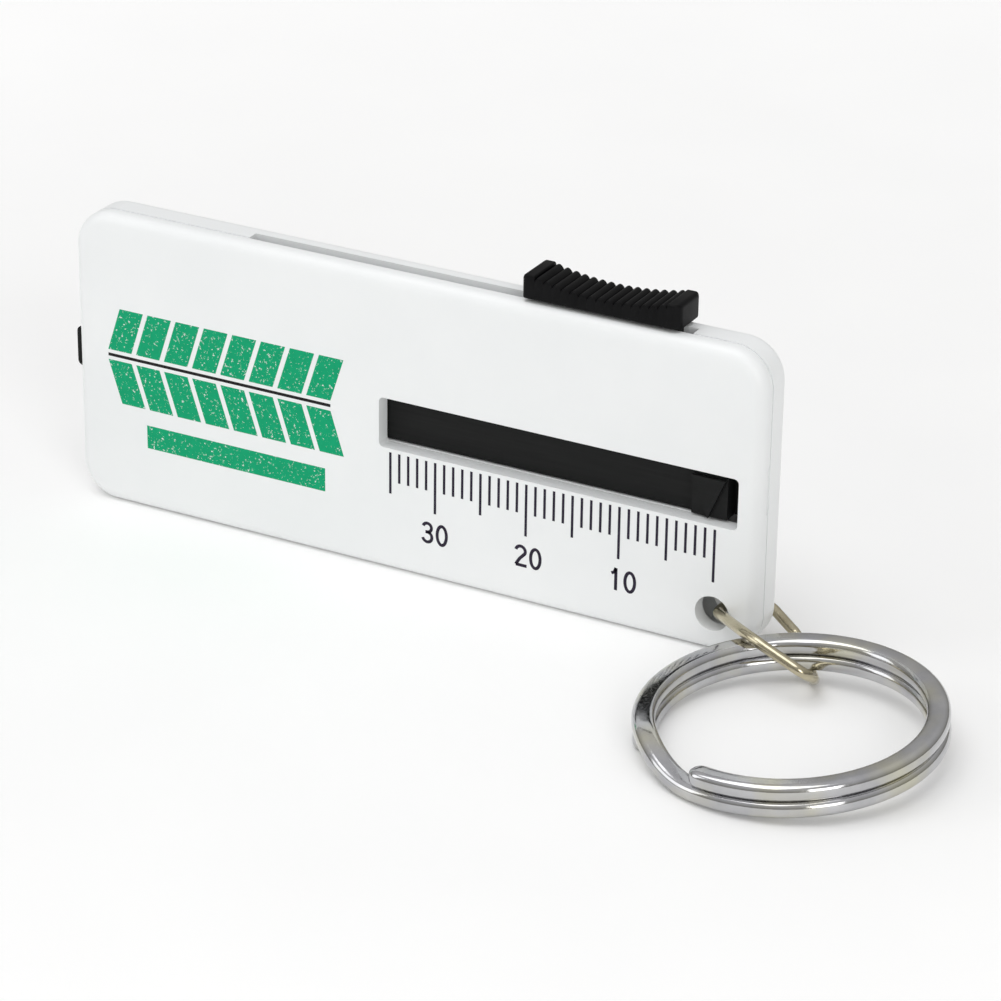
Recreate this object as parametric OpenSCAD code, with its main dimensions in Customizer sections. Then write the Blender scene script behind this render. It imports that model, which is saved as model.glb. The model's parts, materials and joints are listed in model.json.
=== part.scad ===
// Tyre tread depth gauge on a key ring: a thin two-part case, a sliding probe with a thumb pad
// and a pointer, and a split ring held by a bent wire link.
// Millimetres. X runs along the case towards the key ring, -Y is the scale side, +Z is up.
// The origin is the middle of the long bottom edge that the case stands on.

/* [Case] */
// length of the case
case_length = 75.9; // [74:0.1:80]
// height of the case, standing on its long edge
case_height = 31.3; // [31:0.1:34]
// thickness of the case, both covers together
case_depth = 5.2; // [5.2:0.1:5.6]
// radius of the four corners
corner_radius = 4; // [3:0.1:4.5]
// radius of the rolled edge round each face
edge_radius = 1.2; // [0.8:0.1:1.3]
// thickness of the front cover
front_depth = 1.7; // [1.5:0.1:1.8]
// thickness of the rear cover's back wall
back_wall = 1.0; // [0.8:0.1:1.1]
// thickness of the rear cover's side walls
side_wall = 1.4; // [1.2:0.1:1.6]

/* [Scale and window] */
// length of the scale, one millimetre to a graduation
scale_length = 35; // [30:1:35]
// reading at which the slide is drawn
rest_reading = 1.2; // [0:0.1:2]
// how far the zero graduation lies from the key ring end
zero_inset = 4.54; // [4.3:0.01:4.8]
// height of the window
window_height = 5.25; // [5:0.05:5.5]
// height of the window's lower edge above the bottom
window_bottom = 13.2; // [13:0.1:13.4]

/* [Slide] */
// thickness of the probe bar
bar_depth = 1.0; // [0.8:0.05:1]
// height of the probe bar
bar_height = 4.3; // [4:0.1:4.3]
// clearance between the slide and the covers
slide_gap = 0.15; // [0.1:0.01:0.18]
// length of the thumb pad
pad_length = 16.4; // [15:0.1:16.6]
// width of the thumb pad across the case
pad_depth = 4.45; // [3.8:0.05:4.45]
// number of ribs on the thumb pad
rib_count = 15; // [9:1:17]

/* [Key ring] */
// radius of the key ring hole
hole_radius = 1.78; // [1.7:0.01:1.8]
// height of the key ring hole above the bottom
hole_height = 4.02; // [3.9:0.01:4.2]
// radius of the split ring to the middle of its wire
ring_radius = 13.35; // [13.3:0.01:13.4]
// width of the split ring's wire, across the ring
ring_wire_width = 2.15; // [2.05:0.05:2.15]
// height of one turn of the split ring's wire
ring_wire_height = 1.6; // [1.5:0.05:1.6]
// diameter of the link's wire
link_wire = 1.05; // [0.85:0.01:1.05]

/* [Hidden] */
$fn = 64;
eps = 0.01;

WHITE = [0.93, 0.94, 0.95];
BLACK = [0.05, 0.05, 0.055];
STEEL = [0.72, 0.72, 0.74];
NICKEL = [0.78, 0.74, 0.66];

half_length = case_length / 2;
half_depth = case_depth / 2;
parting_y = -half_depth + front_depth;
wall_y = half_depth - back_wall;

zero_x = half_length - zero_inset;
hole_x = zero_x;
window_left = zero_x - scale_length - 1.3;
window_right = zero_x + 2.25;
window_radius = 0.5;

// Slide. Every x here is at the rest reading.
pointer_x = zero_x - rest_reading;
bar_front_y = parting_y + slide_gap;
bar_back_y = bar_front_y + bar_depth;
bar_bottom = window_bottom + 0.2;
bar_top = bar_bottom + bar_height;
tip_x = -half_length - rest_reading;
tip_radius = 0.6;
shoe_half = 1.85;
shoe_left = pointer_x - shoe_half;
shoe_right = pointer_x + shoe_half;
plate_left = 15;
plate_right = shoe_right + 1;
plate_front_y = bar_back_y + 0.05;
plate_back_y = plate_front_y + 0.65;
ledge_bottom = bar_top + 0.1;
ledge_top = ledge_bottom + 0.8;
neck_left = 15.6;
neck_right = 28.1;
neck_back_y = bar_front_y + 1.1;
pointer_depth = 0.45;
shoe_front_y = bar_front_y - 0.7;

stake_radius = 0.7;
stake_length = 0.6;
stake_xs = [18.5, 25.5];
fit_gap = 0.05;

pad_left = 12.2;
pad_bottom = case_height + 0.35;
pad_height = 2.45;
pad_front_y = bar_front_y - 1.1;
pad_corner = 1;
tab_inset = 1.4;
tab_height = 0.8;
saddle_depth = 0.8;
saddle_drop = 0.45;
end_block = 1.3;

// Top slot for the neck, and the opening that the probe comes out of.
stop_gap = 0.3;
slot_left = neck_left - (scale_length - rest_reading) - stop_gap;
slot_right = neck_right + rest_reading + stop_gap;
slot_back_y = neck_back_y + slide_gap;

// Inner ribs, bosses and pins.
rail_height = 1.0;
pin_radius = 0.8;
boss_radius = 1.7;
pin_length = 1.4;
pin_places = [[-33.5, 27], [-33.5, 4.5], [-8, 6.5], [20, 6.5], [33.6, 27]];

// Leaf spring behind the slide.
spring_x = 22;
spring_half = 5;
spring_height = 3;
spring_thickness = 0.15;
spring_rise = 0.35;

// Split ring: leans on the link, so its plane is tipped a little.
ring_tilt = 4.5;
ring_uphill = 44.5;
wire_round = 0.7;
turn_offset = ring_wire_height / 2 + 0.02;
ring_low = ring_wire_height / 2 + turn_offset;
ring_x = zero_x + 14.57;
ring_y = -half_depth - 13.71;
ring_z = (ring_radius + ring_wire_width / 2 - wire_round) * sin(ring_tilt)
    + (ring_low - wire_round) * cos(ring_tilt) + wire_round;
free_end = 256;
cross_angle = 40;

front_cover();
rear_cover();
probe_bar();
carrier();
thumb_pad();
friction_spring();
wire_link();
split_ring();

// A box given by its two opposite corners.
module span(low, high) {
    translate(low) cube(high - low);
}

// A rectangle with round corners, centred on x and standing on y = 0.
module round_rectangle(length, height, radius) {
    translate([-length / 2, radius]) square([length, height - 2 * radius]);
    translate([-length / 2 + radius, 0]) square([length - 2 * radius, height]);
    for (x = [-length / 2 + radius, length / 2 - radius])
        for (y = [radius, height - radius])
            translate([x, y]) circle(radius);
}

// A flat plate with round corners. Its sharp face is at z = 0 and the edge at z = depth is rolled.
module soft_plate(length, height, depth, corner, edge) {
    linear_extrude(depth - edge)
        round_rectangle(length, height, corner);
    translate([0, edge, 0])
        linear_extrude(depth)
            round_rectangle(length - 2 * edge, height - 2 * edge, corner - edge);
    intersection() {
        translate([0, 0, depth - edge]) rolled_edge(length, height, corner, edge);
        span([-length, -height, 0], [length, 2 * height, 2 * depth]);
    }
}

// Round bar of the edge's radius that runs round the outline, its middle at z = 0.
module rolled_edge(length, height, corner, edge) {
    for (y = [edge, height - edge])
        translate([-length / 2 + corner, y, 0])
            rotate([0, 90, 0])
                cylinder(r = edge, h = length - 2 * corner);
    for (x = [-length / 2 + edge, length / 2 - edge])
        translate([x, corner, 0])
            rotate([-90, 0, 0])
                cylinder(r = edge, h = height - 2 * corner);
    for (side = [[1, 1, 0], [-1, 1, 90], [-1, -1, 180], [1, -1, 270]])
        translate([side[0] * (length / 2 - corner), height / 2 + side[1] * (height / 2 - corner), 0])
            rotate([0, 0, side[2]])
                rotate_extrude(angle = 90)
                    translate([corner - edge, 0])
                        circle(edge);
}

// Stands a plate drawn flat upright: drawn z becomes -Y, drawn y becomes Z.
module stand_facing_front(y) {
    translate([0, y, 0]) rotate([90, 0, 0]) children();
}

module stand_facing_back(y) {
    translate([0, y, 0]) rotate([90, 0, 0]) mirror([0, 0, 1]) children();
}

// A round hole or pin along Y between two depths.
module along_y(x, z, radius, y_from, y_to) {
    translate([x, y_to, z]) rotate([90, 0, 0]) cylinder(r = radius, h = y_to - y_from);
}

module window_cut() {
    translate([(window_left + window_right) / 2, 0, window_bottom])
        stand_facing_front(parting_y + 1)
            linear_extrude(case_depth)
                round_rectangle(window_right - window_left, window_height, window_radius);
}

module front_cover() {
    color(WHITE) {
        difference() {
            stand_facing_front(parting_y)
                soft_plate(case_length, case_height, front_depth, corner_radius, edge_radius);
            window_cut();
            along_y(hole_x, hole_height, hole_radius, -case_depth, case_depth);
            // shallow pry notch in the end, at the parting line
            span([half_length - 0.35, parting_y - 0.3, 14.8], [half_length + 1, parting_y + 1, 19.7]);
        }
        for (place = pin_places)
            along_y(place[0], place[1], pin_radius, parting_y - eps, parting_y + pin_length);
    }
}

module rear_shell() {
    rebate = 0.15;
    difference() {
        union() {
            stand_facing_back(parting_y + 0.2)
                soft_plate(case_length, case_height, case_depth - front_depth - 0.2, corner_radius, edge_radius);
            // set back a little where it meets the front cover, which leaves the parting groove
            translate([0, 0, rebate])
                stand_facing_back(parting_y)
                    linear_extrude(1)
                        round_rectangle(case_length - 2 * rebate, case_height - 2 * rebate, corner_radius - rebate);
        }
        translate([0, 0, side_wall])
            stand_facing_front(wall_y)
                linear_extrude(case_depth)
                    round_rectangle(case_length - 2 * side_wall, case_height - 2 * side_wall,
                        corner_radius - side_wall);
    }
}

module rear_cover() {
    inner_left = -half_length + side_wall - eps;
    inner_right = half_length - side_wall + eps;
    color(WHITE) difference() {
        union() {
            rear_shell();
            for (place = pin_places)
                along_y(place[0], place[1], boss_radius, parting_y + fit_gap, wall_y + eps);
            // lower rail, upper rail and the two short guides at the probe's way out
            span([inner_left, parting_y + fit_gap, bar_bottom - slide_gap - rail_height],
                [inner_right - 6, wall_y + eps, bar_bottom - slide_gap]);
            span([inner_left, slot_back_y, ledge_top + slide_gap],
                [inner_right, wall_y + eps, ledge_top + slide_gap + rail_height]);
            span([inner_left, parting_y + fit_gap, bar_top + slide_gap],
                [inner_left + 5, wall_y + eps, bar_top + slide_gap + rail_height]);
        }
        for (place = pin_places)
            along_y(place[0], place[1], pin_radius + fit_gap, parting_y - 1, parting_y + pin_length + 0.1);
        along_y(hole_x, hole_height, hole_radius, -case_depth, case_depth);
        // slot for the neck
        span([slot_left, parting_y - 1, case_height - side_wall - 1], [slot_right, slot_back_y, case_height + 1]);
        // way out for the probe
        span([-half_length - 1, parting_y - 1, bar_bottom - slide_gap],
            [inner_left + 1, bar_back_y + slide_gap, bar_top + slide_gap]);
    }
}

module probe_bar() {
    color(BLACK) difference() {
        union() {
            span([tip_x + tip_radius, bar_front_y, bar_bottom], [shoe_left - fit_gap, bar_back_y, bar_top]);
            span([tip_x, bar_front_y, bar_bottom + tip_radius], [tip_x + 2, bar_back_y, bar_top - tip_radius]);
            for (z = [bar_bottom + tip_radius, bar_top - tip_radius])
                along_y(tip_x + tip_radius, z, tip_radius, bar_front_y, bar_back_y);
        }
        // blind holes that take the carrier's stakes
        for (x = stake_xs)
            along_y(x, (bar_bottom + bar_top) / 2, stake_radius + fit_gap,
                bar_back_y - stake_length - 0.1, bar_back_y + 1);
    }
}

// Raised triangle that points down at the graduations.
module pointer() {
    top = bar_top - 0.1;
    translate([pointer_x, shoe_front_y + eps, 0])
        rotate([90, 0, 0])
            linear_extrude(pointer_depth)
                polygon([[-shoe_half + 0.1, top], [shoe_half - 0.1, top], [0, bar_bottom]]);
}

module carrier() {
    color(BLACK) {
        // plate behind the bar, with the stakes that hold the bar
        span([plate_left, plate_front_y, bar_bottom], [plate_right, plate_back_y, ledge_top]);
        for (x = stake_xs)
            along_y(x, (bar_bottom + bar_top) / 2, stake_radius, plate_front_y - stake_length, plate_front_y + eps);
        // shoe that fills the window's height behind the pointer
        span([shoe_left, shoe_front_y, bar_bottom + 0.05], [shoe_right, plate_front_y + eps, bar_top + 0.05]);
        pointer();
        // ledge over the bar, neck and the tab that holds the thumb pad
        span([plate_left, bar_front_y, ledge_bottom], [neck_right + 1, plate_front_y + eps, ledge_top]);
        span([neck_left, bar_front_y, ledge_top - eps], [neck_right, neck_back_y, pad_bottom - fit_gap]);
        span([neck_left + tab_inset, bar_front_y + 0.15, pad_bottom - 1],
            [neck_right - tab_inset, neck_back_y - 0.15, pad_bottom + tab_height]);
    }
}

module thumb_pad() {
    width = pad_depth;
    chord = pad_length / 2 - end_block;
    saddle_radius = (chord * chord + saddle_depth * saddle_depth) / (2 * saddle_depth);
    saddle_z = pad_bottom + pad_height - saddle_drop - saddle_depth + saddle_radius;
    pad_x = pad_left + pad_length / 2;
    rib_step = 2 * asin(chord / saddle_radius) / rib_count;
    rib_radius = saddle_radius * PI * rib_step / 360 * 0.8;
    color(BLACK) difference() {
        union() {
            difference() {
                translate([pad_x, pad_front_y, pad_bottom])
                    linear_extrude(pad_height)
                        round_rectangle(pad_length, width, pad_corner);
                intersection() {
                    along_y(pad_x, saddle_z, saddle_radius, pad_front_y - 1, pad_front_y + width + 1);
                    span([pad_x - chord, pad_front_y - 2, pad_bottom],
                        [pad_x + chord, pad_front_y + width + 2, pad_bottom + 2 * pad_height]);
                }
            }
            for (i = [0 : rib_count - 1])
                translate([pad_x, 0, saddle_z])
                    rotate([0, (i - (rib_count - 1) / 2) * rib_step, 0])
                        along_y(0, -saddle_radius, rib_radius, pad_front_y + 0.02, pad_front_y + width - 0.02);
        }
        // pocket for the carrier's tab
        span([neck_left + tab_inset - fit_gap, bar_front_y + 0.15 - fit_gap, pad_bottom - 1],
            [neck_right - tab_inset + fit_gap, neck_back_y - 0.15 + fit_gap, pad_bottom + tab_height + fit_gap]);
    }
}

module friction_spring() {
    radius = (spring_half * spring_half + spring_rise * spring_rise) / (2 * spring_rise);
    sweep = asin(spring_half / radius);
    middle_z = (bar_bottom + bar_top) / 2;
    color(STEEL)
        translate([spring_x, plate_back_y + fit_gap + spring_thickness + spring_rise - radius,
            middle_z - spring_height / 2])
            rotate([0, 0, 90 - sweep])
                rotate_extrude(angle = 2 * sweep)
                    translate([radius - spring_thickness, 0])
                        square([spring_thickness, spring_height]);
}

function unit(v) = v / norm(v);

// Closed loop of round wire. Each corner is [x, y, z, radius of the bend].
module bent_wire(corners, radius) {
    lap = 0.04;
    count = len(corners);
    points = [for (c = corners) [c[0], c[1], c[2]]];
    for (i = [0 : count - 1]) {
        here = points[i];
        next = points[(i + 1) % count];
        into = unit(here - points[(i + count - 1) % count]);
        out = unit(next - here);
        onward = unit(points[(i + 2) % count] - next);
        turn = acos(into * out);
        bend = corners[i][3];
        side = unit(out - (out * into) * into);
        axis = cross(into, side);
        centre = here - bend * tan(turn / 2) * into + bend * side;
        translate(centre)
            rotate([atan2(into[2], axis[2]), asin(side[2]), atan2(-side[1], -side[0])])
            rotate_extrude(angle = turn)
                translate([bend, 0])
                    circle(radius);
        start = here + bend * tan(turn / 2) * out;
        run = norm(next - start) - corners[(i + 1) % count][3] * tan(acos(out * onward) / 2);
        // the straight is a hair thinner and runs a little way into both bends
        translate(start - lap * out)
            rotate([0, acos(out[2]), atan2(out[1], out[0])])
                cylinder(r = radius - 0.005, h = run + 2 * lap);
    }
}

// Closed wire loop: through the hole, back leg down and under the split ring, round the end, and
// the front leg over the split ring to the hole again.
module wire_link() {
    front = -half_depth;
    back = half_depth;
    corners = [for (p = [
        [0.2, back + 0.75, 3.95, 0.6],
        [3.6, back + 0.7, 3.05, 3],
        [6.5, back + 0.5, 0.82, 1.2],
        [11.57, front - 1.8, 0.82, 1.2],
        [12.42, front - 4.09, 2.3, 1.3],
        [12.28, front - 6, 3.55, 1.2],
        [6.26, front - 5.14, 5.5, 6],
        [0.45, front + 0.35, 4.1, 1]
    ]) [zero_x + p[0], p[1], p[2], p[3]]];
    color(NICKEL) bent_wire(corners, link_wire / 2);
}

module wire_section() {
    inner = [ring_wire_width - 2 * wire_round, ring_wire_height - 2 * wire_round];
    square([ring_wire_width, inner[1]], center = true);
    square([inner[0], ring_wire_height], center = true);
    for (x = [-1, 1])
        for (y = [-1, 1])
            translate([x * inner[0] / 2, y * inner[1] / 2]) circle(wire_round);
}

module ring_arc(sweep) {
    rotate_extrude(angle = sweep) translate([ring_radius, 0]) wire_section();
}

// Two flat turns, one on the other, joined where the wire steps down from the upper to the lower.
module split_ring() {
    full = 360 - cross_angle;
    step_tilt = asin(turn_offset / (ring_radius * sin(cross_angle / 2)));
    overlap = 1;
    color(STEEL)
        translate([ring_x, ring_y, ring_z])
            rotate([0, 0, ring_uphill])
                rotate([0, -ring_tilt, 0])
                    rotate([0, 0, free_end - ring_uphill]) {
                        for (side = [-1, 1])
                            translate([0, 0, side * turn_offset]) ring_arc(full);
                        rotate([0, 0, -cross_angle / 2])
                            rotate([-step_tilt, 0, 0])
                                rotate([0, 0, -cross_angle / 2 - overlap])
                                    ring_arc(cross_angle + 2 * overlap);
                        // rounded free ends: the upper one, and the lower one at the far end of its turn
                        for (free = [[0, 1], [full, -1]])
                            rotate([0, 0, free[0]])
                                translate([ring_radius, 0, free[1] * turn_offset])
                                    cylinder(r = ring_wire_width / 2, h = ring_wire_height - 0.3, center = true);
                    }
}
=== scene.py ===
"""Looks of the tyre tread depth gauge: materials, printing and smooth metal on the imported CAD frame."""

import json
import math

import bmesh
import bpy
from mathutils import Matrix, Vector


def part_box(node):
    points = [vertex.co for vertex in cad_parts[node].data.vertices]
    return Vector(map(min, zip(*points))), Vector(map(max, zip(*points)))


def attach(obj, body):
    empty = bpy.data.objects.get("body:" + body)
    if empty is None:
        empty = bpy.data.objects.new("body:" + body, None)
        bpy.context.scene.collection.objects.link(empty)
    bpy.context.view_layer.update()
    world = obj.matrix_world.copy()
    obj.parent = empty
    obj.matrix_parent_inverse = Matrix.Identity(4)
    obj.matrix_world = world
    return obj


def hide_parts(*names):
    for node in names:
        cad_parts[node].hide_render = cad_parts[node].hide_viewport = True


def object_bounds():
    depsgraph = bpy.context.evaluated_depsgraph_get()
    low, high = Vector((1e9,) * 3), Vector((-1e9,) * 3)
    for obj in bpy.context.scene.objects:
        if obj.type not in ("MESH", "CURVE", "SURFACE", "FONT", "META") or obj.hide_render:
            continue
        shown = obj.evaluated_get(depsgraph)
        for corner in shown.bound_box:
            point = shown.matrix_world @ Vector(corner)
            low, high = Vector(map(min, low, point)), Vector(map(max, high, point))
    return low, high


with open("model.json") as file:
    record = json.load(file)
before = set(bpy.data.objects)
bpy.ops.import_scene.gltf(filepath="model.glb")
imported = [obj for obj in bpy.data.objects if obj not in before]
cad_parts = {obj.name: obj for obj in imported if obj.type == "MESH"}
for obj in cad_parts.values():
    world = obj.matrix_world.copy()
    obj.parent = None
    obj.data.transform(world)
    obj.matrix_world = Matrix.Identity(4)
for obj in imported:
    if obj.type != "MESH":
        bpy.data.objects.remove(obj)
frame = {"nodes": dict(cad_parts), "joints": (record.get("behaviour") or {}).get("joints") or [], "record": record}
CAD_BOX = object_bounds()
MM = 0.001

JOINTS = {joint["name"]: joint for joint in frame["joints"]}
MOUNTS = {mount["name"]: mount for mount in frame["record"]["mounts"]}

CASE_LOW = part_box("front_cover")[0]
FRONT_Y = CASE_LOW.y
ZERO_X = JOINTS["link_swing"]["pos_m"][0]


# ---------------------------------------------------------------- materials

class Nodes:
    """Short names for the node types that the materials share."""

    def __init__(self, name):
        self.material = bpy.data.materials.new(name)
        self.material.use_nodes = True
        self.tree = self.material.node_tree
        self.shader = self.tree.nodes["Principled BSDF"]
        self.place = self.tree.nodes.new("ShaderNodeTexCoord").outputs["Object"]

    def link(self, output, target):
        self.tree.links.new(output, target)

    def set(self, **values):
        for name, value in values.items():
            self.shader.inputs[name.replace("_", " ")].default_value = value

    def stretched(self, scale):
        """Object coordinates scaled by (x, y, z)."""
        mapping = self.tree.nodes.new("ShaderNodeMapping")
        mapping.inputs["Scale"].default_value = scale
        self.link(self.place, mapping.inputs["Vector"])
        return mapping.outputs["Vector"]

    def noise(self, size, detail=2.0, roughness=0.5, stretch=(1, 1, 1)):
        """Noise whose features are about `size` metres across."""
        node = self.tree.nodes.new("ShaderNodeTexNoise")
        node.inputs["Scale"].default_value = 1 / size
        node.inputs["Detail"].default_value = detail
        node.inputs["Roughness"].default_value = roughness
        self.link(self.stretched(stretch), node.inputs["Vector"])
        return node.outputs["Fac"]

    def ramp(self, factor, *stops):
        """Colour ramp: stops are (position, colour or grey)."""
        node = self.tree.nodes.new("ShaderNodeValToRGB")
        elements = node.color_ramp.elements
        while len(elements) < len(stops):
            elements.new(0.5)
        for element, (position, colour) in zip(elements, stops):
            element.position = position
            grey = isinstance(colour, (int, float))
            element.color = (colour, colour, colour, 1) if grey else (*colour, 1)
        self.link(factor, node.inputs["Fac"])
        return node.outputs["Color"]

    def mix(self, factor, a, b, blend="MIX"):
        node = self.tree.nodes.new("ShaderNodeMix")
        node.data_type = "RGBA"
        node.blend_type = blend
        for socket, value in ((node.inputs["Factor"], factor), (node.inputs["A"], a), (node.inputs["B"], b)):
            if isinstance(value, bpy.types.NodeSocket):
                self.link(value, socket)
            elif isinstance(value, (int, float)):
                socket.default_value = value
            else:
                socket.default_value = (*value, 1)
        return node.outputs["Result"]

    def bump(self, height, depth, strength=1.0, under=None):
        """Bump of about `depth` metres. `under` is another bump to build on."""
        node = self.tree.nodes.new("ShaderNodeBump")
        node.inputs["Strength"].default_value = strength
        node.inputs["Distance"].default_value = depth
        self.link(height, node.inputs["Height"])
        if under is not None:
            self.link(under, node.inputs["Normal"])
        return node.outputs["Normal"]

    def colour(self, output):
        self.link(output, self.shader.inputs["Base Color"])

    def map_range(self, value, low, high, start=0.0, end=1.0):
        """A value that runs from low to high while the input runs from start to end."""
        node = self.tree.nodes.new("ShaderNodeMapRange")
        node.inputs["From Min"].default_value = start
        node.inputs["From Max"].default_value = end
        node.inputs["To Min"].default_value = low
        node.inputs["To Max"].default_value = high
        self.link(value, node.inputs["Value"])
        return node.outputs["Result"]

    def gloss(self, factor, low, high):
        """Roughness that runs from low to high with the factor."""
        self.link(self.map_range(factor, low, high), self.shader.inputs["Roughness"])

    def distance(self):
        """Distance from the object's origin in metres."""
        node = self.tree.nodes.new("ShaderNodeVectorMath")
        node.operation = "LENGTH"
        self.link(self.place, node.inputs[0])
        return node.outputs["Value"]

    def normal(self, output):
        self.link(output, self.shader.inputs["Normal"])


def white_plastic():
    """Satin moulded plastic: faint mottling, fine grain and a few hairline scuffs."""
    m = Nodes("white_plastic")
    tint = m.noise(9 * MM, 3)
    m.colour(m.ramp(tint, (0.3, (0.835, 0.852, 0.858)), (0.7, (0.862, 0.876, 0.88))))
    scuffs = m.noise(0.5 * MM, 4, 0.7, stretch=(0.12, 1, 1.6))
    m.gloss(m.ramp(scuffs, (0.35, 0.0), (0.75, 1.0)), 0.3, 0.44)
    grain = m.noise(0.16 * MM, 2)
    waviness = m.noise(14 * MM, 1)
    m.normal(m.bump(grain, 0.004 * MM, 0.5, under=m.bump(waviness, 0.05 * MM, 0.4)))
    m.set(IOR=1.49)
    return m.material


def black_plastic():
    """Charcoal plastic of the slide, with drag lines along its travel."""
    m = Nodes("black_plastic")
    drag = m.noise(0.35 * MM, 5, 0.65, stretch=(0.04, 1, 1))
    cloud = m.noise(4 * MM, 2)
    worn = m.ramp(drag, (0.35, (0.008, 0.0085, 0.0085)), (0.8, (0.018, 0.0185, 0.0185)))
    m.colour(m.mix(cloud, worn, (0.010, 0.0105, 0.0105)))
    m.gloss(drag, 0.36, 0.55)
    m.normal(m.bump(drag, 0.004 * MM, 0.5))
    m.set(Specular_IOR_Level=0.12)
    return m.material


def pad_plastic():
    """Matt black plastic with a spark-eroded grain, polished a little where the thumb rubs."""
    m = Nodes("pad_plastic")
    grain = m.noise(0.12 * MM, 3, 0.6)
    rubbed = m.noise(2.5 * MM, 2)
    m.colour(m.ramp(rubbed, (0.3, (0.003, 0.003, 0.0034)), (0.75, (0.006, 0.006, 0.0065))))
    m.gloss(rubbed, 0.5, 0.36)
    m.normal(m.bump(grain, 0.008 * MM, 0.6))
    m.set(Specular_IOR_Level=0.09)
    return m.material


def plated_steel():
    """Bright nickel plate on the split ring: soft ripples and fine handling marks."""
    m = Nodes("plated_steel")
    film = m.noise(3 * MM, 3)
    plate = m.ramp(film, (0.3, (0.44, 0.44, 0.455)), (0.7, (0.55, 0.55, 0.56)))
    warm = m.ramp(m.noise(5 * MM, 2), (0.45, 0.0), (0.7, 0.6))
    m.colour(m.mix(warm, plate, (0.60, 0.575, 0.42)))
    marks = m.noise(0.25 * MM, 4, 0.7)
    m.gloss(m.ramp(marks, (0.45, 0.0), (0.8, 1.0)), 0.09, 0.26)
    ripple = m.noise(1.6 * MM, 1)
    m.normal(m.bump(marks, 0.002 * MM, 0.3, under=m.bump(ripple, 0.03 * MM, 0.5)))
    m.set(Metallic=1.0)
    return m.material


def nickel_wire():
    """Warmer nickel of the link's drawn wire."""
    m = Nodes("nickel_wire")
    film = m.noise(1.5 * MM, 3)
    m.colour(m.ramp(film, (0.3, (0.42, 0.375, 0.26)), (0.7, (0.56, 0.51, 0.37))))
    marks = m.noise(0.2 * MM, 4, 0.7)
    m.gloss(m.ramp(marks, (0.4, 0.0), (0.8, 1.0)), 0.13, 0.32)
    m.normal(m.bump(marks, 0.003 * MM, 0.4))
    m.set(Metallic=1.0)
    return m.material


def spring_steel():
    """Blued strip steel of the hidden leaf spring."""
    m = Nodes("spring_steel")
    rolling = m.noise(0.3 * MM, 3, stretch=(0.1, 1, 1))
    m.colour(m.ramp(rolling, (0.3, (0.36, 0.36, 0.38)), (0.7, (0.5, 0.5, 0.52))))
    m.gloss(rolling, 0.22, 0.4)
    m.normal(m.bump(rolling, 0.002 * MM, 0.5))
    m.set(Metallic=1.0)
    return m.material


def ink(name, thin, full, speckle=0.0):
    """Pad-printed ink. A higher speckle gives more of the tiny worn spots where the plastic shows."""
    m = Nodes(name)
    cloud = m.noise(0.8 * MM, 3)
    body = m.ramp(cloud, (0.3, thin), (0.7, full))
    if speckle:
        spots = m.noise(0.3 * MM, 4, 0.75)
        threshold = 0.7 * (1 - speckle)
        worn = m.ramp(spots, (threshold, 0.0), (threshold + 0.02, 1.0))
        body = m.mix(worn, body, (0.80, 0.82, 0.83))
    m.colour(body)
    m.gloss(cloud, 0.3, 0.45)
    m.normal(m.bump(m.noise(0.1 * MM, 2), 0.003 * MM, 0.4))
    m.set(Specular_IOR_Level=0.15)
    return m.material


def paper_white():
    """Seamless pale studio floor with painted light: it glows more with distance from the object, so it is whiter
    far off and darker near the part as painted shade.
    """
    m = Nodes("floor_white")
    grain = m.noise(30 * MM, 2)
    m.colour(m.ramp(grain, (0.3, (0.92, 0.92, 0.918)), (0.7, (0.935, 0.935, 0.932))))
    m.gloss(grain, 0.6, 0.7)
    # Painted light: the floor's emission rises from 0.05 near the object to 0.16 far off, which leaves painted
    # shade close to the part.
    m.set(Emission_Color=(1, 1, 1, 1))
    painted_glow = m.map_range(m.distance(), 0.05, 0.16, start=60 * MM, end=200 * MM)
    m.link(painted_glow, m.shader.inputs["Emission Strength"])
    return m.material


WHITE = white_plastic()
BLACK = black_plastic()
PAD = pad_plastic()
STEEL = plated_steel()
NICKEL = nickel_wire()
SPRING = spring_steel()
SCALE_INK = ink("scale_ink", (0.030, 0.022, 0.042), (0.018, 0.013, 0.026))
GREEN_INK = ink("green_ink", (0.0, 0.36, 0.16), (0.0, 0.33, 0.145), speckle=0.12)
BLACK_INK = ink("black_ink", (0.012, 0.012, 0.012), (0.006, 0.006, 0.006))

NODE_MATERIALS = {
    "front_cover": WHITE,
    "rear_cover": WHITE,
    "probe_bar": BLACK,
    "carrier": BLACK,
    "thumb_pad": PAD,
    "friction_spring": SPRING,
    "wire_link": NICKEL,
    "split_ring": STEEL,
}


# ---------------------------------------------------------------- pieces

def add_piece(name, bm, material, body, smooth_angle=None):
    """Turns a bmesh into a piece that rides on a CAD body. Printed ink has no material slot of its own."""
    mesh = bpy.data.meshes.new(name)
    bm.to_mesh(mesh)
    bm.free()
    mesh.materials.append(material)
    piece = bpy.data.objects.new(name, mesh)
    bpy.context.scene.collection.objects.link(piece)
    if smooth_angle is not None:
        for polygon in mesh.polygons:
            polygon.use_smooth = True
        mesh.set_sharp_from_angle(angle=math.radians(smooth_angle))
    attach(piece, body)
    return piece


MERGE_DISTANCE = 0.001 * MM
FLAT_ANGLE = math.radians(0.5)
SHARP_ANGLE = math.radians(40)


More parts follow.
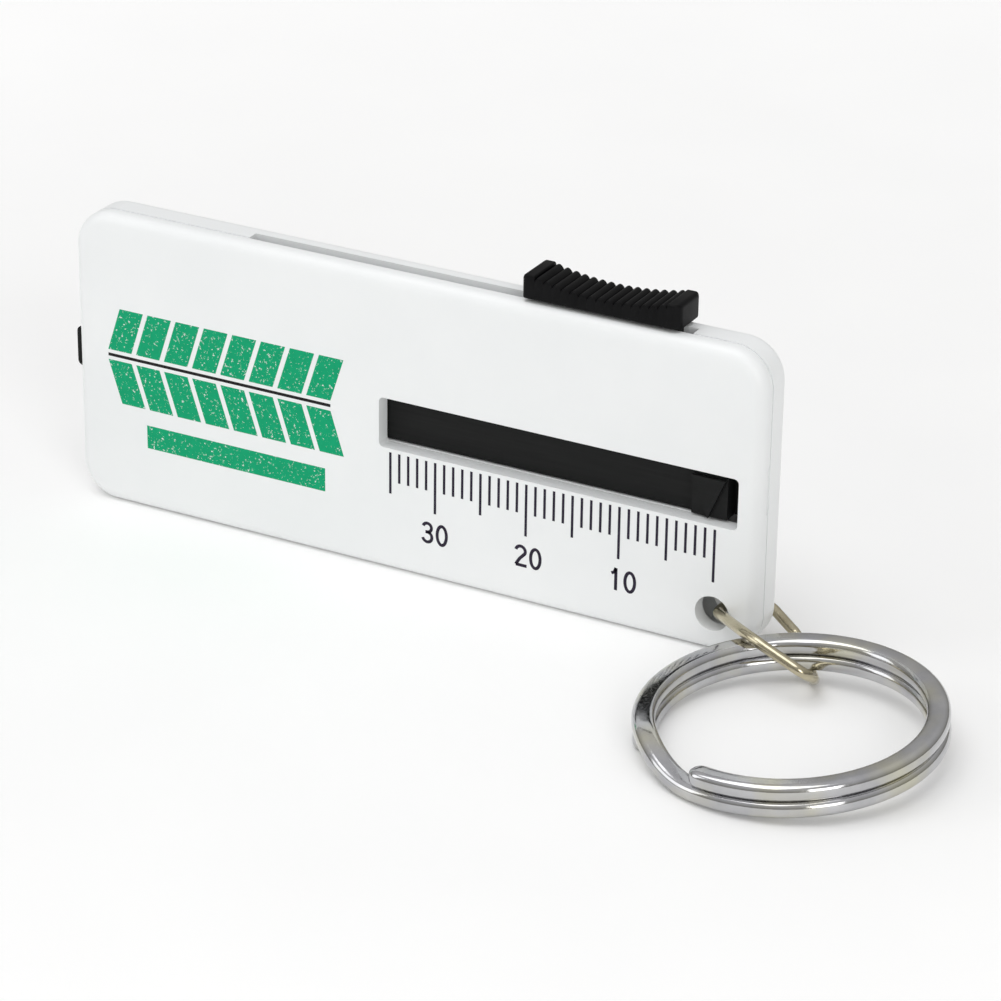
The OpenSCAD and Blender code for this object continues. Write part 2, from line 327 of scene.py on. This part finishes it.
def softened(node, width, body):
    """A copy of a CAD node whose sharp edges are rounded like a moulding's. It stands for the node."""
    bm = bmesh.new()
    bm.from_mesh(frame["nodes"][node].data)
    bmesh.ops.remove_doubles(bm, verts=bm.verts, dist=MERGE_DISTANCE)
    bmesh.ops.dissolve_limit(bm, angle_limit=FLAT_ANGLE, verts=bm.verts, edges=bm.edges)
    piece = add_piece(node + "_moulding", bm, NODE_MATERIALS[node], body, smooth_angle=35)
    bevel = piece.modifiers.new("round_edges", "BEVEL")
    bevel.width = width
    bevel.segments = 3
    bevel.limit_method = "ANGLE"
    bevel.angle_limit = SHARP_ANGLE
    bevel.use_clamp_overlap = True
    bevel.harden_normals = True
    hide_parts(node)


# Thumb pad: a block whose top is a ribbed saddle between two plain end blocks.
RIB_COUNT = 15
END_BLOCK = 1.3 * MM
SADDLE_DEPTH = 0.8 * MM
SADDLE_DROP = 0.45 * MM
RIB_HEIGHT = 0.4 * MM
PAD_SHARP_CORNER = 0.35 * MM
PAD_ROUND_CORNER = 0.95 * MM
PAD_ROLL = 0.22 * MM
OUTER_ROLL = 2 * PAD_ROLL
INNER_ROLL = 0.6 * PAD_ROLL
CORNER_STEPS = 14
STEPS_TO_A_RIB = 12
ROLL_STEPS = 4


def quarter_drop(distance, radius):
    """How far a rounded corner of that radius has fallen away, at a distance from its end."""
    short = max(radius - distance, 0)
    return radius - math.sqrt(radius * radius - short * short)


def pad_top(x, length, height):
    """Height of the thumb pad's top at x from its left end."""
    from_end = min(x, length - x)
    if from_end <= END_BLOCK:
        rolled = quarter_drop(from_end, OUTER_ROLL) + quarter_drop(END_BLOCK - from_end, INNER_ROLL)
        return height - rolled
    chord = length / 2 - END_BLOCK
    radius = (chord ** 2 + SADDLE_DEPTH ** 2) / (2 * SADDLE_DEPTH)
    sag = SADDLE_DEPTH - radius + math.sqrt(radius ** 2 - (x - length / 2) ** 2)
    phase = (x - END_BLOCK) / (2 * chord) * RIB_COUNT
    rib = 1 - abs(2 * (phase % 1) - 1) ** 2
    return height - SADDLE_DROP - sag + RIB_HEIGHT * rib


def pad_stations(length):
    """Places along the pad where its section is drawn: close together where it curves."""
    corner = [math.radians(90 * i / CORNER_STEPS) for i in range(CORNER_STEPS)]
    ends = [PAD_ROUND_CORNER * (1 - math.cos(a)) for a in corner]
    ends += [END_BLOCK - INNER_ROLL * (1 - i / 3) for i in range(3)] + [END_BLOCK]
    steps = STEPS_TO_A_RIB * RIB_COUNT
    start = END_BLOCK + 0.01 * MM
    middle = [start + (length - 2 * start) * i / steps for i in range(steps + 1)]
    return ends + middle + [length - x for x in reversed(ends)]


def pad_side(inset, top):
    """One long side of the pad's section, from the bottom up, its edges rolled."""
    angles = [math.radians(90 * i / ROLL_STEPS) for i in range(ROLL_STEPS + 1)]
    edge = [(inset + PAD_ROLL * (1 - math.cos(a)), top - PAD_ROLL * (1 - math.sin(a))) for a in angles]
    return [(inset + PAD_ROLL / 2, 0), (inset, PAD_ROLL / 2)] + edge


def thumb_pad_grip():
    """The thumb pad with rounded edges and soft ribs. Its front right corner is the roundest."""
    low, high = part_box("thumb_pad")
    length, depth, height = high - low
    bm = bmesh.new()
    loops = []
    for x in pad_stations(length):
        top = pad_top(x, length, height)
        back = pad_side(quarter_drop(min(x, length - x), PAD_SHARP_CORNER), top)
        front = back
        if x > length / 2:
            front = pad_side(quarter_drop(length - x, PAD_ROUND_CORNER), top)
        section = front + [(depth - y, z) for y, z in reversed(back)]
        loops.append([bm.verts.new(low + Vector((x, y, z))) for y, z in section])
    for a, b in zip(loops, loops[1:]):
        for j in range(len(a)):
            k = (j + 1) % len(a)
            bm.faces.new((a[j], a[k], b[k], b[j]))
    bm.faces.new(list(reversed(loops[0])))
    bm.faces.new(loops[-1])
    bmesh.ops.recalc_face_normals(bm, faces=bm.faces)
    piece = add_piece("thumb_pad_grip", bm, PAD, "slide", smooth_angle=38)
    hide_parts("thumb_pad")


# Printing on the front face. Everything printed is in millimetres: x from the zero graduation, z from
# the bottom edge.
INK_PROUD = 0.012 * MM
INK_DEPTH = 0.02 * MM


def front_point(x, z, y=FRONT_Y - INK_PROUD):
    return Vector((ZERO_X + x * MM, y, z * MM))


def print_polygon(bm, outline):
    """A thin printed patch with that outline, counterclockwise seen from the front."""
    face = bm.faces.new([bm.verts.new(front_point(x, z)) for x, z in outline])
    grown = bmesh.ops.extrude_face_region(bm, geom=[face])
    moved = [g for g in grown["geom"] if isinstance(g, bmesh.types.BMVert)]
    bmesh.ops.translate(bm, verts=moved, vec=(0, INK_DEPTH, 0))


def print_rectangle(bm, left, right, bottom, top):
    print_polygon(bm, [(left, bottom), (right, bottom), (right, top), (left, top)])


def print_stroke(bm, path, width, closed=False):
    """A printed line of constant width along a path."""
    points = [Vector(p) for p in path]
    count = len(points)
    sides = []
    for i, point in enumerate(points):
        before = points[(i - 1) % count] if closed or i > 0 else point
        after = points[(i + 1) % count] if closed or i < count - 1 else point
        along = (after - before).normalized()
        across = Vector((-along.y, along.x)) * width / 2
        sides.append((point + across, point - across))
    depths = (FRONT_Y - INK_PROUD, FRONT_Y + INK_DEPTH)
    rows = [[bm.verts.new(front_point(*p, y)) for p in side for y in depths] for side in sides]
    loops = range(count if closed else count - 1)
    for i in loops:
        a, b = rows[i], rows[(i + 1) % count]
        for j, k in ((0, 2), (2, 3), (3, 1), (1, 0)):
            bm.faces.new((a[j], a[k], b[k], b[j]))
    if not closed:
        for row, order in ((rows[0], (0, 1, 3, 2)), (rows[-1], (0, 2, 3, 1))):
            bm.faces.new([row[j] for j in order])


def arc(centre, radii, start, end, steps):
    """Points on an elliptical arc, angles in degrees."""
    angles = [math.radians(start + (end - start) * i / steps) for i in range(steps + 1)]
    return [(centre[0] + radii[0] * math.cos(a), centre[1] + radii[1] * math.sin(a)) for a in angles]


DIGIT_HEIGHT = 2.35
DIGIT_WIDTH = 1.36
DIGIT_STROKE = 0.33
DIGIT_PITCH = 1.62
DIGIT_BOTTOM = 3.99
NUMBER_CENTRES = ((10, -9.51), (20, -19.70), (30, -30.03))

LAST_READING = 35
TICK_TOP = 12.83
TICK_WIDTH = 0.27
TICK_LENGTH = 3.14
FIFTH_TICK_LENGTH = 4.42
TENTH_TICK_LENGTH = 5.49


def digit_paths(digit):
    """Strokes of one plain sans-serif digit, in a cell that starts at (0, 0). Each is (path, closed).

    Factors are shares of the digit's height, width or bowl.
    """
    half = DIGIT_STROKE / 2
    right = DIGIT_WIDTH - half
    top = DIGIT_HEIGHT - half
    middle_x = DIGIT_WIDTH / 2
    bowl = (right - half) / 2
    if digit == "0":
        rise = (top - half) / 2
        oval = arc((middle_x, DIGIT_HEIGHT / 2), (bowl, rise), 0, 360, 40)[:-1]
        return [(oval, True)]
    if digit == "1":
        stem_x = middle_x + 0.12
        stem = [(stem_x, 0), (stem_x, DIGIT_HEIGHT)]
        flag_tip = (stem_x - 0.48, DIGIT_HEIGHT * 0.74)
        flag_bend = (stem_x - 0.18, DIGIT_HEIGHT * 0.8)
        return [(stem, False), ([flag_tip, flag_bend, (stem_x, top + half)], False)]
    if digit == "2":
        crown = arc((middle_x, top - bowl), (bowl, bowl), 170, -25, 20)
        neck = (middle_x - 0.1, DIGIT_HEIGHT * 0.36)
        heel = (half, half)
        return [(crown + [neck, heel], False), ([heel, (right + half, half)], False)]
    # a three, the only other digit on the scale
    upper = (top - half) * 0.235
    lower = (top - half) / 2 - upper
    cap = arc((middle_x, top - upper), (bowl * 0.9, upper), 165, -90, 20)
    base = arc((middle_x, half + lower), (bowl, lower), 90, -165, 22)
    waist = half + 2 * lower
    return [(cap, False), (base, False), ([(middle_x - 0.2, waist), (middle_x, waist)], False)]


def scale_graduations():
    """One tick to a millimetre, longer at every fifth and tenth."""
    bm = bmesh.new()
    half = TICK_WIDTH / 2
    for reading in range(LAST_READING + 1):
        length = TICK_LENGTH
        if reading % 5 == 0:
            length = FIFTH_TICK_LENGTH
        if reading % 10 == 0:
            length = TENTH_TICK_LENGTH
        print_rectangle(bm, -reading - half, -reading + half, TICK_TOP - length, TICK_TOP)
    add_piece("scale_graduations", bm, SCALE_INK, "case")


def scale_numbers():
    """The number of every tenth graduation, below it."""
    bm = bmesh.new()
    for reading, centre in NUMBER_CENTRES:
        left = centre - (DIGIT_PITCH + DIGIT_WIDTH) / 2
        for i, digit in enumerate(str(reading)):
            for path, closed in digit_paths(digit):
                placed = [(left + i * DIGIT_PITCH + x, DIGIT_BOTTOM + z) for x, z in path]
                print_stroke(bm, placed, DIGIT_STROKE, closed)
    add_piece("scale_numbers", bm, SCALE_INK, "case")


def tread_print():
    """Generic printed decoration: two rows of slanted tread blocks, a dark rib and a plain band."""
    green = bmesh.new()
    dark = bmesh.new()
    left, right = -67.6, -41.2
    count = 8
    pitch = (right - left) / count
    gap = 0.55
    slant = 1.5
    middle = 16.3
    rib = 0.55
    row = 4.6
    line_width = 0.32
    band_left, band_right = -63.2, -42.4
    band_bottom, band_top = 6.9, 9.4
    for i in range(count):
        a = left + i * pitch
        b = a + pitch - gap
        # both rows lean to the right as they leave the dark rib, like a tyre's chevrons
        print_polygon(green, [(a, middle + rib), (b, middle + rib), (b + slant, middle + rib + row),
                              (a + slant, middle + rib + row)])
        print_polygon(green, [(a + slant, middle - rib - row), (b + slant, middle - rib - row),
                              (b, middle - rib), (a, middle - rib)])
    print_rectangle(dark, left, right - gap, middle - line_width / 2, middle + line_width / 2)
    print_rectangle(green, band_left, band_right, band_bottom, band_top)
    add_piece("tread_print_green", green, GREEN_INK, "case")
    add_piece("tread_print_dark", dark, BLACK_INK, "case")


# Split ring: one wire in two turns, swept along its own path with rounded free ends. Angles are in
# degrees about the ring's axis.
FREE_END_ANGLE = 256
CROSS_ANGLE = 40
TURN_GAP = 0.04 * MM
WIRE_ROUND = 0.7 * MM
SWEEP_STEP = 1.5
END_STEPS = 8
END_HEIGHT = 0.45


def ring_axes():
    """The ring's centre, its normal, the direction in which it climbs and the direction across."""
    mount = MOUNTS["key_ring"]
    normal = Vector(mount["axis"]).normalized()
    uphill = Vector((-normal.x, -normal.y, 0)).normalized()
    side = normal.cross(uphill).normalized()
    return Vector(mount["pos_m"]), normal, side.cross(normal), side


def ring_sizes():
    """Inner radius, outer radius and half height of the CAD ring, measured about its own axis."""
    centre, normal, _, _ = ring_axes()
    radii, heights = [], []
    for vertex in frame["nodes"]["split_ring"].data.vertices:
        offset = vertex.co - centre
        height = offset.dot(normal)
        heights.append(abs(height))
        radii.append((offset - height * normal).length)
    return min(radii), max(radii), max(heights)


def rounded_section(width, height, corner, steps=6):
    """Points of a rounded rectangle about (0, 0)."""
    points = []
    for quarter, (sx, sy) in enumerate(((1, 1), (-1, 1), (-1, -1), (1, -1))):
        for i in range(steps + 1):
            angle = math.radians(90 * quarter + 90 * i / steps)
            points.append((sx * (width / 2 - corner) + corner * math.cos(angle),
                           sy * (height / 2 - corner) + corner * math.sin(angle)))
    return points


def smooth_step(t):
    """Eases from 0 to 1 while t runs from 0 to 1."""
    t = min(max(t, 0), 1)
    return t * t * (3 - 2 * t)


def split_ring():
    """The split ring as one smooth wire. It is measured from the CAD ring, which it stands for."""
    centre, normal, uphill, side = ring_axes()
    inner, outer, half_height = ring_sizes()
    radius = (inner + outer) / 2
    width = outer - inner
    wire_height = half_height - TURN_GAP / 2
    turn = 360 - CROSS_ANGLE
    uphill_angle = math.degrees(math.atan2(uphill.y, uphill.x))
    end_sweep = math.degrees(width / 2 / radius)
    total = 2 * turn + CROSS_ANGLE
    section = rounded_section(width, wire_height, WIRE_ROUND)
    stations = [end_sweep * (1 - math.cos(math.radians(90 * i / END_STEPS))) for i in range(END_STEPS)]
    middle_steps = int((total - 2 * end_sweep) / SWEEP_STEP)
    stations += [end_sweep + SWEEP_STEP * i for i in range(middle_steps + 1)]
    stations += [total - s for s in reversed(stations[:END_STEPS])]
    bm = bmesh.new()
    rings = []
    for s in stations:
        along = min(s, total - s)
        share = 1 - min(along / end_sweep, 1)
        narrow = math.sqrt(max(1 - share * share, 0.0004))
        flat = END_HEIGHT + (1 - END_HEIGHT) * narrow
        angle = math.radians(FREE_END_ANGLE - uphill_angle - end_sweep / 2 + s)
        drop = smooth_step((s - turn) / CROSS_ANGLE)
        height = (1 - 2 * drop) * (wire_height + TURN_GAP) / 2
        outward = math.cos(angle) * uphill + math.sin(angle) * side
        middle = centre + radius * outward + height * normal
        rings.append([bm.verts.new(middle + x * narrow * outward + z * flat * normal) for x, z in section])
    for a, b in zip(rings, rings[1:]):
        for j in range(len(section)):
            k = (j + 1) % len(section)
            bm.faces.new((a[j], b[j], b[k], a[k]))
    bm.faces.new(rings[0])
    bm.faces.new(list(reversed(rings[-1])))
    bmesh.ops.recalc_face_normals(bm, faces=bm.faces)
    piece = add_piece("split_ring_wire", bm, STEEL, "ring", smooth_angle=60)
    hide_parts("split_ring")


# ---------------------------------------------------------------- stage

def floor():
    """A square of floor a hair below the part."""
    half = 1.5
    corners = ((-half, -half), (half, -half), (half, half), (-half, half))
    z = CAD_BOX[0][2] - 0.005 * MM
    bm = bmesh.new()
    bm.faces.new([bm.verts.new((x, y, z)) for x, y in corners])
    mesh = bpy.data.meshes.new("floor")
    bm.to_mesh(mesh)
    bm.free()
    mesh.materials.append(paper_white())
    piece = bpy.data.objects.new("floor", mesh)
    bpy.context.scene.collection.objects.link(piece)


def area_light(name, place, target, size, power, colour=(1, 1, 1)):
    """A rectangular softbox that faces the target. Metres and watts."""
    data = bpy.data.lights.new(name, "AREA")
    data.shape = "RECTANGLE"
    data.size, data.size_y = size
    data.energy = power
    data.color = colour
    light = bpy.data.objects.new(name, data)
    light.location = place
    light.rotation_euler = (Vector(target) - Vector(place)).to_track_quat("-Z", "Y").to_euler()
    bpy.context.scene.collection.objects.link(light)


def studio_world():
    """A grey studio, brighter overhead than at the horizon, which the metal reflects."""
    world = bpy.data.worlds.new("studio")
    world.use_nodes = True
    tree = world.node_tree
    background = tree.nodes["Background"]
    place = tree.nodes.new("ShaderNodeTexCoord")
    split = tree.nodes.new("ShaderNodeSeparateXYZ")
    ramp = tree.nodes.new("ShaderNodeValToRGB")
    ramp.color_ramp.elements[0].position = 0.0
    ramp.color_ramp.elements[0].color = (0.27, 0.265, 0.24, 1)
    ramp.color_ramp.elements[1].position = 0.9
    ramp.color_ramp.elements[1].color = (0.70, 0.70, 0.71, 1)
    tree.links.new(place.outputs["Generated"], split.inputs["Vector"])
    tree.links.new(split.outputs["Z"], ramp.inputs["Fac"])
    tree.links.new(ramp.outputs["Color"], background.inputs["Color"])
    bpy.context.scene.world = world


def lights():
    """Three softboxes round the part and the studio that the metal reflects."""
    middle = (0.01, 0, 0.012)
    area_light("softbox_top", (-0.1, -0.2, 0.75), middle, (0.7, 0.5), 2.15)
    area_light("softbox_left", (-0.65, -0.45, 0.35), middle, (0.35, 0.5), 0.85, (0.985, 0.995, 1.0))
    area_light("softbox_right", (0.6, -0.55, 0.3), middle, (0.3, 0.45), 1.6, (1.0, 0.995, 0.98))
    studio_world()
    bpy.context.scene.view_settings.view_transform = "Standard"


# Camera: angles in degrees, azimuth from straight in front of the scale towards the key ring.
CAMERA_AZIMUTH = 27.987
CAMERA_ELEVATION = 25.245
CAMERA_ROLL = 0.787
CAMERA_TARGET = Vector((10.626, -2.6, 10.513)) * MM
CAMERA_DISTANCE = 385.404 * MM
CAMERA_LENS = 143.9
CAMERA_SENSOR = 36


def camera():
    """A long lens aimed at the target from the given angles, rolled a little."""
    azimuth, elevation, roll = (math.radians(a) for a in (CAMERA_AZIMUTH, CAMERA_ELEVATION, CAMERA_ROLL))
    back = Vector((math.sin(azimuth) * math.cos(elevation), -math.cos(azimuth) * math.cos(elevation),
                   math.sin(elevation)))
    right = Vector((math.cos(azimuth), math.sin(azimuth), 0))
    up = back.cross(right)
    rolled_right = math.cos(roll) * right + math.sin(roll) * up
    rolled_up = back.cross(rolled_right)
    data = bpy.data.cameras.new("camera")
    data.sensor_width = CAMERA_SENSOR
    data.lens = CAMERA_LENS
    data.clip_start = 0.01
    turned = Matrix((rolled_right, rolled_up, back)).transposed().to_4x4()
    piece = bpy.data.objects.new("camera", data)
    piece.matrix_world = Matrix.Translation(CAMERA_TARGET + CAMERA_DISTANCE * back) @ turned
    bpy.context.scene.collection.objects.link(piece)
    bpy.context.scene.camera = piece


for node_name, node_material in NODE_MATERIALS.items():
    node_mesh = frame["nodes"][node_name].data
    node_mesh.materials.clear()
    node_mesh.materials.append(node_material)

softened("front_cover", 0.1 * MM, "case")
thumb_pad_grip()
scale_graduations()
scale_numbers()
tread_print()
split_ring()
floor()
lights()
camera()
